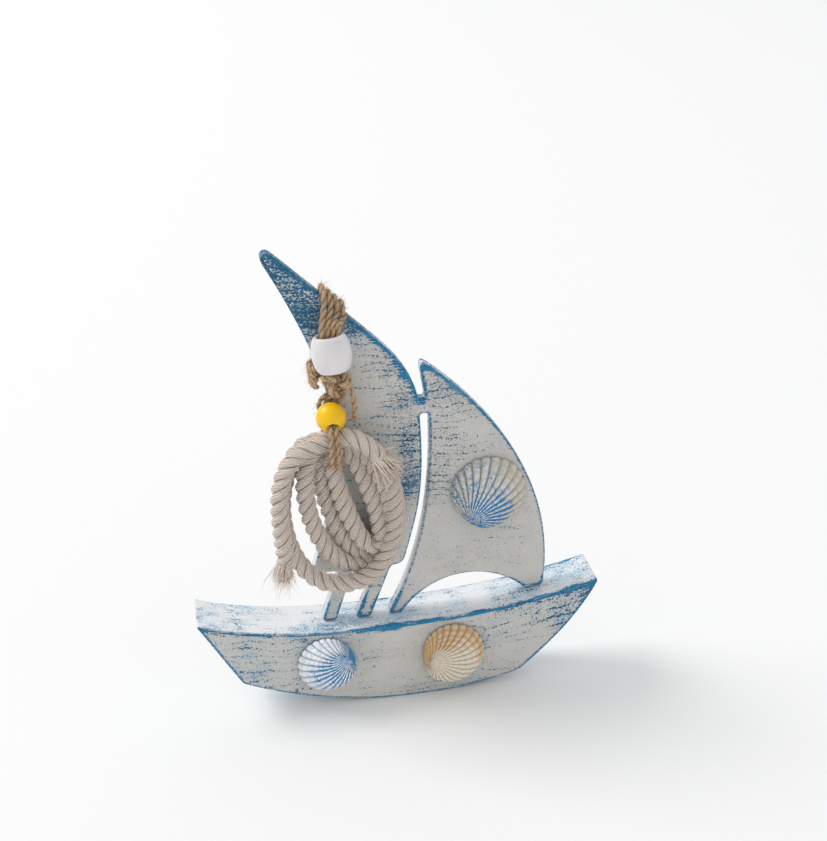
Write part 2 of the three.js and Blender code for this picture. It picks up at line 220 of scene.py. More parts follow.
# How far round a cord its yarns climb in a length of one diameter, in radians.
YARN_CLIMB = 5.6


def laid_cord(name, points, diameter, material, body, *, lay, strands, groove, yarns, step, columns,
              start=(0, 1, 0)):
    """A twisted cord: the outline of its strands is carried along a smooth line and turns once in
    each lay, and fine yarns cross the strands. Its ends are drawn in to a point. Gives the object,
    the line and its length."""
    line, at = smooth_line(points, step)
    side, up = carried_frame(line, np.asarray(start, float))
    turn, outline = laid_profile(strands, columns, groove)
    wobble = 1 + 0.03 * np.sin(at / lay * 2.7) * np.sin(at / lay * 0.9 + 1)
    ends = np.ones(len(line))
    ends[0] = ends[-1] = 0
    angle = turn[None, :] + FULL_TURN * at[:, None] / lay
    yarn = 1 + 0.028 * np.cos(yarns * turn[None, :] - at[:, None] * YARN_CLIMB / diameter)
    radius = diameter / 2 * outline[None, :] * yarn * (wobble * ends)[:, None]
    rings = (line[:, None] + radius[..., None] * (np.cos(angle)[..., None] * side[:, None]
                                                  + np.sin(angle)[..., None] * up[:, None]))
    # ridge is 0 in the grooves and 1 on the crests; the cord finishes paint shade into the grooves from it.
    ridge = (outline - outline.min()) / np.ptp(outline)
    obj = piece(name, rings, grid_faces(len(line), columns), material, body,
                uv=grid_uv(at, columns), values={"ridge": np.broadcast_to(ridge, radius.shape)})
    return obj, line, at[-1]


def fibres(name, roots, directions, lengths, radius, curl, drop, material, body, steps=8, sides=4):
    """Thin hairs: each starts at a root, leaves along its direction, bends by a random curl that
    grows with the square of the way, and falls by `drop` of its length. Their tips are points."""
    count = len(roots)
    way = np.linspace(0, 1, steps)[None, :, None]
    bend = random.normal(0, curl, (count, 1, 3))
    wave = random.normal(0, curl * 0.35, (count, 1, 3)) * np.sin(way * random.uniform(4, 9, (count, 1, 1)))
    reach = np.asarray(lengths, float).reshape(-1, 1, 1)
    lines = roots[:, None] + reach * (unit(directions)[:, None] * way + bend * way ** 2 + wave * way)
    lines[..., 2] -= (reach * drop * way ** 2)[..., 0]
    tangent = unit(np.gradient(lines, axis=1))
    side = unit(np.cross(tangent, [0.31, 0.87, 0.38]))
    up = np.cross(tangent, side)
    turn = FULL_TURN * np.arange(sides) / sides
    thin = radius * (1 - way ** 3)[..., None]
    rings = lines[:, :, None] + thin * (np.cos(turn)[None, None, :, None] * side[:, :, None]
                                        + np.sin(turn)[None, None, :, None] * up[:, :, None])
    faces = grid_faces(steps, sides)[None] + (np.arange(count) * steps * sides)[:, None, None]
    return piece(name, rings, faces.reshape(-1, 4), material, body, weld=False,
                 values={"ridge": np.broadcast_to(0.75 + 0.25 * way[..., None], rings.shape[:3] + (1,))})


# ---- material nodes ------------------------------------------------------------------------

class Value:
    """An output of a material's nodes. Arithmetic on it adds Math nodes."""

    def __init__(self, finish, socket):
        self.finish = finish
        self.socket = socket

    def _math(self, operation, a, b=0.0):
        return self.finish.node("ShaderNodeMath", {"operation": operation}, {0: a, 1: b})

    def __add__(self, other):
        return self._math("ADD", self, other)

    def __sub__(self, other):
        return self._math("SUBTRACT", self, other)

    def __rsub__(self, other):
        return self._math("SUBTRACT", other, self)

    def __mul__(self, other):
        return self._math("MULTIPLY", self, other)

    __radd__ = __add__
    __rmul__ = __mul__

    def most(self, other):
        return self._math("MAXIMUM", self, other)

    def sine(self):
        return self._math("SINE", self)

    def ramp(self, low, high):
        """0 below low, 1 above high and a smooth step between."""
        inputs = {"Value": self, "From Min": low, "From Max": high}
        return self.finish.node("ShaderNodeMapRange", {"interpolation_type": "SMOOTHSTEP"}, inputs)


class Finish:
    """A procedural material for one finish. Constant values go to the shader's own sockets."""

    def __init__(self, name, **constants):
        self.material = bpy.data.materials.new(name)
        self.material.use_nodes = True
        self.tree = self.material.node_tree
        self.shader = self.tree.nodes["Principled BSDF"]
        for key, value in constants.items():
            self.shader.inputs[key.replace("_", " ")].default_value = value

    def node(self, kind, settings=None, inputs=None, output=0):
        """A node of any kind, with its settings made first and its inputs filled or linked."""
        node = self.tree.nodes.new(kind)
        for key, value in (settings or {}).items():
            setattr(node, key, value)
        for key, value in (inputs or {}).items():
            if isinstance(key, str):
                socket = next(s for s in node.inputs if key in (s.identifier, s.name))
            else:
                socket = node.inputs[key]
            if isinstance(value, Value):
                self.tree.links.new(value.socket, socket)
            else:
                socket.default_value = value
        if isinstance(output, str):
            return Value(self, next(s for s in node.outputs if output in (s.identifier, s.name)))
        return Value(self, node.outputs[output])

    def place(self, scale=(1, 1, 1)):
        """Object coordinates in millimetres, stretched by scale."""
        where = self.node("ShaderNodeTexCoord", output="Object")
        per_mm = tuple(1 / MM * s for s in scale)
        return self.node("ShaderNodeMapping", inputs={"Vector": where, "Scale": per_mm})

    def uv_part(self, axis):
        """One number of the piece's UV map: X along it, Y round it."""
        where = self.node("ShaderNodeTexCoord", output="UV")
        return self.node("ShaderNodeSeparateXYZ", inputs={0: where}, output=axis)

    def noise(self, vector, scale=1, detail=3, rough=0.55):
        """Cloudy noise from 0 to 1, mostly near the middle."""
        inputs = {"Vector": vector, "Scale": scale, "Detail": detail, "Roughness": rough}
        return self.node("ShaderNodeTexNoise", inputs=inputs)

    def number(self, name):
        """A named number of the piece's points."""
        return self.node("ShaderNodeAttribute", {"attribute_name": name}, output="Fac")

    def mix(self, factor, a, b):
        """Colour a where the factor is 0 and b where it is 1."""
        inputs = {"Factor_Float": factor}
        for key, value in (("A_Color", a), ("B_Color", b)):
            inputs[key] = value if isinstance(value, Value) else (*value, 1)
        return self.node("ShaderNodeMix", {"data_type": "RGBA"}, inputs, output="Result_Color")

    def bump(self, height, distance):
        """Relief as deep as distance, in millimetres."""
        inputs = {"Height": height, "Distance": distance * MM, "Strength": 1.0}
        return self.node("ShaderNodeBump", inputs=inputs)

    def feed(self, **links):
        """Links values to the shader's sockets and gives the finished material."""
        for key, value in links.items():
            self.tree.links.new(value.socket, self.shader.inputs[key.replace("_", " ")])
        return self.material


# ---- finishes ------------------------------------------------------------------------------

CHALK, GREY_CHALK, WARM_CHALK = (0.64, 0.63, 0.60), (0.52, 0.51, 0.49), (0.60, 0.565, 0.51)
# The first colour here is painted light: a whiter chalk for the sawn sides of the boards, standing in for
# the light that falls on them.
SIDE_HIGHLIGHT_WHITE, SHELL_BLUE = (0.86, 0.87, 0.89), (0.01, 0.30, 0.62)
BLUE, PALE_BLUE, DARK_BLUE = (0.016, 0.225, 0.43), (0.36, 0.60, 0.77), (0.018, 0.11, 0.21)


def worn_paint(name):
    """Chalk paint over blue. The blue shows where `worn`, the distance to a sawn edge, is less
    than a ragged share of `reach`; as rows of small dots along the grain, as thick as `dotted`
    says; and as a thin `wash`. `rise` is the height measured across the grain. The sawn sides
    get a whiter chalk, a painted highlight that stands in for the light falling on them."""
    finish = Finish(name)
    finish.shader.inputs["Specular IOR Level"].default_value = 0.3
    worn, reach = finish.number("worn"), finish.number("reach")
    dotted, wash, rise = finish.number("dotted"), finish.number("wash"), finish.number("rise")
    place = finish.place()
    across = finish.node("ShaderNodeSeparateXYZ", inputs={0: place}, output="X")
    deep = finish.node("ShaderNodeSeparateXYZ", inputs={0: place}, output="Y")

    def grained(along, through, over):
        parts = {"X": across * along, "Y": deep * through, "Z": rise * over}
        return finish.node("ShaderNodeCombineXYZ", inputs=parts)

    fleck = finish.noise(place, 1.5, 3, 0.65)
    broad = finish.noise(grained(0.05, 0.05, 0.09), 1.2, 3)
    rows = finish.noise(grained(0.035, 0.3, 1.25), 1.0, 3, 0.6)
    drift = finish.noise(grained(0.06, 0.3, 0.12), 1.0, 2)
    lines = (rise * (FULL_TURN / 2.9) + drift * 18).sine().ramp(0.5, 1.0)
    dots = finish.noise(grained(1.05, 1.4, 1.6), 1.2, 2, 0.5)
    teeth = finish.noise(grained(0.12, 0.4, 1.5), 1.0, 3, 0.6)
    ragged = teeth.ramp(0.34, 0.72) * 1.5 + 0.25
    edge = (reach * ragged - worn + (fleck - 0.5) * 1.2).ramp(-0.15, 0.35)
    edge = edge * (fleck * 0.8 + teeth * 0.5).ramp(0.42, 0.60)
    halo = (reach * 1.9 - worn).ramp(-1, 3) * (dots + teeth * 0.3).ramp(0.65, 0.74)
    speckle = (lines * 0.125 + dots * 0.9 + (broad - 0.5) * 0.45 + dotted * 0.15).ramp(0.68, 0.745)
    dust = (fleck + (broad - 0.5) * 0.35 + dotted * 0.09).ramp(0.60, 0.74) * 0.55
    blue = edge.most(halo).most(speckle).most(dust)
    thin = (broad + (rows - 0.5) * 0.8 + (fleck - 0.5) * 0.9 + wash * 0.28).ramp(0.60, 0.86)
    patch = (broad * 0.6 + teeth * 0.5 + (fleck - 0.5) * 0.5 + wash * 0.16).ramp(0.70, 0.78) * wash
    ground = finish.mix(broad.ramp(0.35, 0.7), CHALK, WARM_CHALK)
    ground = finish.mix(fleck.ramp(0.30, 0.75) * 0.45, ground, GREY_CHALK)
    # Painted highlight: the sawn sides are mixed towards a whiter chalk, which stands in for the light
    # falling on them.
    ground = finish.mix(finish.number("painted_side_light") * 0.85, ground, SIDE_HIGHLIGHT_WHITE)
    ground = finish.mix(thin * (wash * 0.7 + 0.1), ground, PALE_BLUE)
    tint = finish.mix((fleck + speckle * 0.3).ramp(0.40, 0.80), BLUE, DARK_BLUE)
    tint = finish.mix(broad.ramp(0.5, 0.8) * 0.2, tint, PALE_BLUE)
    colour = finish.mix(blue.most(patch * 0.9), ground, tint)
    height = rows * 0.3 + dots * 0.25 + fleck * 0.25 - blue * 0.35
    return finish.feed(Base_Color=colour, Normal=finish.bump(height, 0.25),
                       Roughness=0.66 + fleck * 0.2 - blue * 0.12)


def cotton_finish():
    """Unbleached cotton yarn: fine ply lines along each strand, and painted shade that darkens the grooves
    between the strands.
    """
    finish = Finish("cotton_rope", Roughness=0.92)
    finish.shader.inputs["Sheen Weight"].default_value = 0.2
    along, around = finish.uv_part("X"), finish.uv_part("Y")
    ridge = finish.number("ridge")
    wander = finish.noise(finish.place(), 0.5, 2)
    ply = ((around * (FULL_TURN * 12) - along * (YARN_CLIMB / ROPE) + wander * 2).sine() + 1) * 0.5
    fuzz = finish.noise(finish.place(), 0.9, 5, 0.75)
    patch = finish.noise(finish.place(), 0.12, 2)
    # Painted shade: the grooves between the strands get a dark brown that stands in for the shade falling
    # there.
    colour = finish.mix(ridge.ramp(0.0, 0.36), (0.22, 0.14, 0.095), (0.90, 0.78, 0.68))
    colour = finish.mix(fuzz.ramp(0.35, 0.8) * 0.55, colour, (0.97, 0.90, 0.84))
    colour = finish.mix(ply * 0.30, colour, (0.60, 0.46, 0.38))
    colour = finish.mix(patch.ramp(0.5, 0.8) * 0.3, colour, (0.74, 0.64, 0.53))
    return finish.feed(Base_Color=colour, Normal=finish.bump(ply * 0.7 + fuzz * 0.8, 0.7))


def jute_finish():
    """Natural jute: coarse golden-brown fibres that run with the twist, with painted shade in the grooves.
    """
    finish = Finish("jute_twine", Roughness=0.95)
    along, around = finish.uv_part("X"), finish.uv_part("Y")
    ridge = finish.number("ridge")
    stripes = finish.noise(finish.place(), 1.3, 4, 0.7)
    ply = ((around * (FULL_TURN * 9) + along * 1.2 + stripes * 6).sine() + 1) * 0.5
    # Painted shade: the grooves between the two strands get a dark brown that stands in for the shade
    # falling there.
    colour = finish.mix(ridge.ramp(0.0, 0.6), (0.17, 0.095, 0.045), (0.62, 0.42, 0.25))
    colour = finish.mix(stripes.ramp(0.4, 0.75) * 0.75, colour, (0.84, 0.66, 0.46))
    colour = finish.mix(ply * 0.35, colour, (0.34, 0.21, 0.10))
    return finish.feed(Base_Color=colour, Normal=finish.bump(ply * 0.8 + stripes * 0.5, 0.2))


def lacquer_finish(name, colour, shade, roughness, coat):
    """Lacquer on turned wood: slight orange peel and a faint change of tone."""
    finish = Finish(name)
    finish.shader.inputs["Coat Weight"].default_value = coat
    finish.shader.inputs["Coat Roughness"].default_value = 0.12
    finish.shader.inputs["Specular IOR Level"].default_value = 0.35
    peel = finish.noise(finish.place(), 0.55, 3)
    cloud = finish.noise(finish.place((1, 1, 0.4)), 0.16, 2)
    turned = finish.noise(finish.place((0.2, 0.2, 3)), 0.8, 2)
    tone = finish.mix((cloud * 0.88 + turned * 0.12).ramp(0.3, 0.75), colour, shade)
    return finish.feed(Base_Color=tone, Roughness=roughness + peel * 0.12,
                       Normal=finish.bump(peel + turned * 0.12, 0.05))


def shell_finish(name, crest, valley, natural, natural_from, natural_side, patch, paint_side, dots):
    """Ribbed shell. UV X runs from the beak to the rim and UV Y round the beak. Natural colour
    covers the side and the rim past `natural_from`; blue lies in the valleys round the beak as far
    as `patch`, and on the side that `paint_side` gives, and sits as dots on the ribs."""
    finish = Finish(name)
    out, around = finish.uv_part("X"), finish.uv_part("Y")
    ridge = finish.number("ridge")
    fleck = finish.noise(finish.place(), 1.3, 3, 0.7)
    cloud = finish.noise(finish.place(), 0.2, 3)
    rings = ((out * 58 + cloud * 8).sine() + 1) * 0.5
    colour = finish.mix(ridge.ramp(0.10, 0.75), valley, crest)
    colour = finish.mix(rings * 0.25, colour, valley)
    band = out * 0.55 + (around - 0.5) * natural_side + (cloud - 0.5) * 0.5 - natural_from
    band = band.ramp(-0.08, 0.10)
    colour = finish.mix(band * (0.95 - ridge * 0.35 + (rings - 0.5) * 0.4), colour, natural)
    near = (patch - out + (around - 0.5) * paint_side + (cloud - 0.5) * 0.9).ramp(-0.12, 0.30)
    grooves = (1.25 - ridge * 1.1 + (fleck - 0.5) * 1.6).ramp(0.20, 0.55)
    speckle = (fleck + cloud * 0.25 - 0.12).ramp(0.555, 0.59) * (1 - band * 0.8) * dots
    paint_colour = finish.mix(fleck.ramp(0.35, 0.7) * 0.4, SHELL_BLUE, DARK_BLUE)
    colour = finish.mix((near * grooves).most(speckle), colour, paint_colour)
    return finish.feed(Base_Color=colour, Roughness=0.42 + fleck * 0.3,
                       Normal=finish.bump(rings * 0.5 + fleck * 0.5, 0.14))


def steel_finish():
    """Bright drawn wire with fine lines along it."""
    finish = Finish("drawn_wire", Metallic=1.0, Roughness=0.35)
    lines = finish.noise(finish.place((6, 6, 0.3)), 1.0, 2)
    colour = finish.mix(lines, (0.45, 0.45, 0.46), (0.70, 0.70, 0.72))
    return finish.feed(Base_Color=colour, Roughness=0.28 + lines * 0.2)


def glue_finish():
    """Set hot glue: cloudy, smooth and slightly uneven."""
    finish = Finish("hot_glue", Roughness=0.3)
    cloud = finish.noise(finish.place(), 0.5, 3)
    colour = finish.mix(cloud, (0.80, 0.76, 0.62), (0.90, 0.88, 0.80))
    return finish.feed(Base_Color=colour, Normal=finish.bump(cloud, 0.1))


# ---- cotton rope ---------------------------------------------------------------------------

ROPE = 6.4
ROPE_LAID = {"lay": 12.4, "strands": 3, "groove": 0.62, "yarns": 12, "step": 0.55, "columns": 60}
knot_centre = np.array([-18.6, -8.0, 123.4])
bead_low, bead_high = (np.array(corner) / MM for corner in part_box("yellow_bead"))
ball_centre = (bead_low + bead_high) / 2
BALL_TILT = math.radians(28)
barrel_low, barrel_high = (np.array(corner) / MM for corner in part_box("barrel_bead"))
barrel_centre = (barrel_low + barrel_high) / 2

# Turns of the coil, each once round clockwise from the tie: half width, drop, tilt in degrees,
# squareness, place of its top, and depth at its top, right side, bottom, left side and end.
TURNS = [
    (19.3, 54.5, 1, 0.84, (-20.6, 105.0), (-10.0, -11.6, -12.6, -9.0, -6.6)),
    (5.2, 41.0, 15.5, 0.80, (-19.2, 101.2), (-7.0, -8.6, -9.4, -9.6, -8.0)),
    (14.0, 50.5, 9.5, 0.90, (-21.0, 104.3), (-9.0, -9.6, -7.2, -10.2, -9.8)),
    (8.4, 47.5, 13.5, 0.90, (-21.5, 103.8), (-6.4, -6.2, -6.0, -6.2, -6.8)),
]


def coil_turn(half_width, drop, tilt, square, top, depths, points=16):
    """Once round clockwise from the top: x = half width * sin(a) to the power of square, and
    z = -drop / 2 * (1 - cos(a)), turned by tilt about the top, with its depth blended."""
    a = FULL_TURN * np.arange(points) / points
    x = half_width * np.sign(np.sin(a)) * np.abs(np.sin(a)) ** square
    z = -drop / 2 * (1 - np.cos(a))
    lean = math.radians(tilt)
    y = np.interp(a, np.linspace(0, FULL_TURN, 5), depths)
    return np.stack([top[0] + x * math.cos(lean) - z * math.sin(lean), y,
                     top[1] + z * math.cos(lean) + x * math.sin(lean) * 0.2], axis=1)


def coil_route():
    """From the low frayed end up the left front, over the tie, round each turn and out at the right.
    Its sharp bends are eased, as a thick rope eases them."""
    easing, apart = 14, 3
    rise = [(-39.4, -10.4, 61), (-39.6, -11.6, 66), (-40.1, -12.6, 72), (-40.4, -12.8, 79),
            (-40.0, -12.9, 87), (-38.2, -12.9, 94.5), (-34.4, -12.8, 100.2), (-29.0, -12.6, 103.2),
            (-24.0, -12.2, 104.4)]
    turns = [coil_turn(*shape) for shape in TURNS]
    leave = [(-19.6, -10.6, 105.6), (-14.8, -13.2, 106.0), (-10.4, -14.6, 103.4), (-7.0, -14.8, 99.6),
             (-4.9, -14.6, 96.2)]
    line = smooth_line(np.vstack([rise, *turns, leave]), 1.0)[0]
    for _ in range(easing):
        line[1:-1] = line[1:-1] * 0.5 + (line[:-2] + line[2:]) * 0.25
    return line[::apart]


def rope_ends(line, material):
    """Frayed ends: yarns that keep some twist, then loose fibres that fan out. Each end gives its
    root, heading and reach, and how far it spreads and falls; each kind gives its count, radius
    and curl, and its share of the reach."""
    ends = [("low", line[0], np.array([-0.20, -0.02, -1.0]), 12.0, 0.07, 0.06),
            ("right", line[-1], np.array([0.80, -0.02, -0.62]), 11.0, 0.45, 0.20)]
    kinds = [("yarns", 44, 0.52, 0.15, 0.85), ("fibres", 160, 0.10, 0.22, 1.0)]
    bundle, sunk = 2.3, 2.4
    made = []
    for name, root, heading, reach, spread, drop in ends:
        ahead = unit(heading)
        side = unit(np.cross(heading, [0, 1, 0]))
        up = unit(np.cross(side, heading))
        for kind, count, radius, curl, share in kinds:
            around = random.uniform(0, FULL_TURN, count)
            out = np.sqrt(random.uniform(0, 1, count)) * bundle
            offset = out[:, None] * (np.cos(around)[:, None] * side + np.sin(around)[:, None] * up)
            roots = root + offset - ahead * sunk
            stray = random.normal(0, spread * 0.3, (count, 3))
            aim = ahead + (offset / bundle * spread + stray) * [1, 0.4, 1]
            lengths = reach * share * random.uniform(0.7, 1.12, count)
            bend = np.array([1, 0.35, 1]) * curl
            made.append(fibres(f"rope_{name}_{kind}", roots, aim, lengths, radius, bend, drop,
                               material, "coil"))
    return made


def surface_hairs(name, line, radius, count, length, thickness, material, body):
    """Loose hairs that stand off a cord, leaning along it."""
    pick = random.integers(2, len(line) - 3, count)
    tangent = unit(line[pick + 2] - line[pick - 2])
    sideways = unit(np.cross(tangent, random.normal(0, 1, (count, 3))))
    roots = line[pick] + sideways * radius * 0.86
    aim = sideways * random.uniform(0.4, 1.1, (count, 1)) + tangent * random.normal(0, 0.9, (count, 1))
    lengths = length * random.uniform(0.4, 1.2, count)
    return fibres(name, roots, aim, lengths, thickness, 0.35, 0.05, material, body, steps=5, sides=3)


def add_rope():
    """The whole rope of the coil in one piece, its two frayed ends and the hairs on it."""
    cotton = cotton_finish()
    rope, line, length = laid_cord("cotton_rope", coil_route(), ROPE, cotton, "coil", **ROPE_LAID)
    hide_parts("rope_coil", "rope_end")
    loose = rope_ends(line, cotton)
    loose.append(surface_hairs("rope_hairs", line, ROPE / 2, 900, 1.6, 0.035, cotton, "coil"))
    line[0] * MM
    length * MM
    line * MM


# ---- jute twine ----------------------------------------------------------------------------

TWINE = 1.6
TWINE_LAID = {"lay": 6.5, "strands": 2, "groove": 0.5, "yarns": 5, "step": 0.4, "columns": 18}
SAIL_HALF = 2.5


def strand_points(i):
    """Route of one hanger strand: up through the barrel bead, over the sloping edge of the sail, down
    behind it, round its hollow edge and back to the knot."""
    side = i - 1.5
    _, ky, kz = knot_centre
    px, py, pz = barrel_centre
    half, spread, in_bore, knot_radius = 6.2, 2.0, 1.75, 4.6
    off = TWINE / 2 + 0.5
    front = -SAIL_HALF - off
    bore = px + side * in_bore
    top = px + 2.1 + side * spread
    crest = 167.4 - 0.97 * (top + 37) + 1.65 * off
    turn = kz + 1.2 - side * spread
    luff = -24 - 0.055 * abs(turn - 121) ** 1.15 * np.sign(turn - 121) - off - 0.5
    return [
        (bore, py * 0.7 + ky * 0.3, kz + knot_radius + 0.5), (bore, py, pz - half + 2),
        (bore, py, pz + half - 1), (bore * 0.95 + top * 0.05, py * 0.9 + front * 0.1, pz + half + 2.2),
        (top, front - 0.3, crest - 3.4), (top, front + 0.7, crest - 0.4), (top, 0, crest + 0.5),
        (top, -front - 0.7, crest - 0.4), (top, -front + 0.3, crest - 3.4),
        (top - 0.5, -front + 0.1, (crest + turn) / 2 + 4), (top - 3.6, -front + 0.1, turn + 2.6),
        (luff + 2.6, -front, turn + 0.3), (luff + 0.4, -front - 1.5, turn), (luff, 0, turn),
        (luff + 0.2, front + 1, turn), (luff + 1.4, front - 1.6, turn),
    ]


def sling_points(side):
    """Route of one sling strand: out of the knot, through the yellow bead from behind, down in front
    of the coil, under its waist and back behind the bead to the knot."""
    kx, ky, kz = knot_centre
    bx, by, bz = ball_centre
    radius, waist_front, waist_back, low = 5.1, -15, -6.4, 97.2
    off = TWINE / 2 + 0.65
    x = bx + side
    behind = bx + side * 3.1

    def threaded(s):
        return (x, by + math.cos(BALL_TILT) * s, bz + math.sin(BALL_TILT) * s)

    return [
        (kx - 0.6 + side, ky + 1.7, kz - 5.0), threaded(radius + 1.4), threaded(0), threaded(-radius - 1),
        (x, waist_front - off, low + 6.4), (x, waist_front - off, low + 2),
        (x, waist_front + 2, low - off), (x, waist_back - 2, low - off), (x, waist_back + off, low + 2),
        (x + side, waist_back + off + 0.1, low + 6.4), (behind, by + radius + 0.9, bz),
        (behind, by + radius + 1.1, bz + 3), (kx + side * 3.1, ky + 2.6, kz - 4.5),
    ]


def twine(name, points, body, node, material, start=(1, 0, 0), thick=1.32):
    """One strand of twine with its loose hairs."""
    strand, line, length = laid_cord(name, points, TWINE * thick, material, body, start=start, **TWINE_LAID)
    hairs = surface_hairs(name + "_hairs", line, TWINE / 2, int(length * 7), 2.0, 0.05, material, body)
    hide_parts(node)
    line[0] * MM
    length * MM
    line * MM


def knot_points(shift, size):
    """One strand of the overhand knot, a trefoil: (sin a + 2 sin 2a, -sin 3a, cos a - 2 cos 2a)."""
    a = np.linspace(0.25, FULL_TURN + 0.05, 26)
    x, y, z = np.sin(a) + 2 * np.sin(2 * a), -np.sin(3 * a) * 1.5, np.cos(a) - 2 * np.cos(2 * a)
    return knot_centre + np.stack([x * 1.25, y * 1.1, z * 1.15], axis=1) * size + shift


def spare_end(material):
    """The spare end that hangs from the knot, and its frayed tip."""
    kx, ky, kz = knot_centre
    points = [(kx + 2.6, ky - 0.8, kz - 0.8), (kx + 4.8, ky - 1.2, kz - 3.2),
              (kx + 5.6, ky - 1.2, kz - 7.4), (kx + 5.6, ky - 0.6, kz - 12)]
    end, line, _ = laid_cord("twine_spare_end", points, TWINE * 1.3, material, "knot", **TWINE_LAID)
    count = 40
    roots = line[-1] + random.normal(0, 0.3, (count, 3)) + [0, 0, 1]
    fall = [-0.2, 0, -1] + random.normal(0, 0.2, (count, 3))
    lengths = random.uniform(1, 2.6, count)
    fray = fibres("twine_spare_fray", roots, fall, lengths, 0.11, 0.25, 0.1, material, "knot")
    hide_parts("spare_tail")
    return end, fray


def add_twine():
    """Hanger strands, knot, sling and the spare end."""
    jute = jute_finish()
    for i in range(4):
        twine(f"twine_hanger_{i + 1}", strand_points(i), "root", f"hanger_strand_{i + 1}", jute)
    spare = spare_end(jute)
    shifts = [(-0.5, -0.9, 0.7), (0.5, 0.3, -0.5), (0.0, 0.9, 0.6)]
    for i, (shift, size) in enumerate(zip(shifts, (1.0, 1.05, 0.92))):
        twine(f"twine_knot_{i + 1}", knot_points(np.array(shift), size), "knot", "hanger_knot", jute,
              start=(0, 1, 0), thick=1.55)
    for i, side in enumerate((-0.97, 0.97)):
        twine(f"twine_sling_{i + 1}", sling_points(side), "coil", f"sling_strand_{i + 1}", jute, thick=1.1)


# ---- wood ----------------------------------------------------------------------------------

def sawn_outline(node):
    """Outline of a sawn board in X and Z, in order, with the height of its edge rounding: the points
    of its CAD solid at the level where the flat side meets the front rounding."""
    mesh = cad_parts[node].data
    co = np.empty(len(mesh.vertices) * 3, np.float32)
    mesh.vertices.foreach_get("co", co)
    co = co.reshape(-1, 3) / MM
    corners = np.array([list(face.vertices) for face in mesh.polygons])
    front = co[:, 1].min()
    widest = co[:, 0].argmin()
    level = -abs(co[widest, 1])
    for candidate in np.unique(np.round(co[:, 1], 3)):
        ring = np.abs(co[:, 1] - candidate) < 2e-3
        if candidate < 0 and np.ptp(co[ring, 0]) > np.ptp(co[:, 0]) - 0.05:
            level = candidate
            break
    keys, where = np.unique(np.round(co * 200).astype(int), axis=0, return_inverse=True)
    where = where.ravel()
    place = np.empty((len(keys), 3))
    place[where] = co
    edges = where[np.concatenate([corners[:, [0, 1]], corners[:, [1, 2]], corners[:, [2, 0]]])]
    on = np.abs(place[:, 1] - level) < 2e-3
    edges = np.unique(np.sort(edges[on[edges].all(axis=1)], axis=1), axis=0)
    near = {}
    for a, b in edges.tolist():
        near.setdefault(a, []).append(b)
        near.setdefault(b, []).append(a)
    order = [edges[0, 0]]
    last = None
    while True:
        ahead = [n for n in near[order[-1]] if n != last]
        last = order[-1]
        if ahead[0] == order[0]:
            break
        order.append(ahead[0])
    return place[order][:, [0, 2]], level - front


def even_outline(corners, step, bend=26):
    """The outline with a point at every step: sharp bends stay, and a smooth curve runs between them."""
    before, after = corners - np.roll(corners, 1, axis=0), np.roll(corners, -1, axis=0) - corners
    cross = before[:, 0] * after[:, 1] - before[:, 1] * after[:, 0]
    turn = np.degrees(np.abs(np.arctan2(cross, (before * after).sum(axis=1))))
    sharp = np.flatnonzero(turn > bend)
    stretches = []
    for a, b in zip(sharp, np.roll(sharp, -1)):
        picked = np.arange(a, b + 1 if b > a else b + 1 + len(corners)) % len(corners)
        points = corners[picked]
        line = smooth_line(points, step)[0] if len(points) > 2 else resample(points, step)[0]
        stretches.append(line[:-1])
    line = np.vstack(stretches)
    for _ in range(2):
        line = line * 0.5 + (np.roll(line, 1, axis=0) + np.roll(line, -1, axis=0)) * 0.25
    after = np.roll(line, -1, axis=0)
    clockwise = (after[:, 0] * line[:, 1] - line[:, 0] * after[:, 1]).sum() > 0
    return line[::-1] if clockwise else line


def inward(line):
    """Directions that point into an anticlockwise outline."""
    along = unit(np.roll(line, -1, axis=0) - np.roll(line, 1, axis=0))
    return np.stack([-along[:, 1], along[:, 0]], axis=1)


def inside(points, line):
    """Whether each point is inside the outline, by the count of its edges to the point's right."""
    x, z = points[:, 0, None], points[:, 1, None]
    a, b = line, np.roll(line, -1, axis=0)
    crosses = (a[:, 1] > z) != (b[:, 1] > z)
    climb = np.where(b[:, 1] == a[:, 1], 1e-9, b[:, 1] - a[:, 1])
    at = a[:, 0] + (z - a[:, 1]) * (b[:, 0] - a[:, 0]) / climb
    return (crosses & (at > x)).sum(axis=1) % 2 == 1


def edge_distance(points, line):
    """Distance of each point to the nearest edge of the outline."""
    a, b = line, np.roll(line, -1, axis=0)
    run = b - a
    t = ((points[:, None] - a) * run).sum(axis=2) / (run ** 2).sum(axis=1)
    nearest = a + np.clip(t, 0, 1)[..., None] * run
    return np.linalg.norm(points[:, None] - nearest, axis=2).min(axis=1)


def nearest_facing(points, line):
    """The way that the nearest part of the outline faces, outward, for each point."""
    nearest = ((points[:, None] - line) ** 2).sum(axis=2).argmin(axis=1)
    return -inward(line)[nearest]


def step_up(x, low, high):
    """0 below low, 1 above high and a smooth step between."""
    t = np.clip((x - low) / (high - low), 0, 1)
    return t * t * (3 - 2 * t)


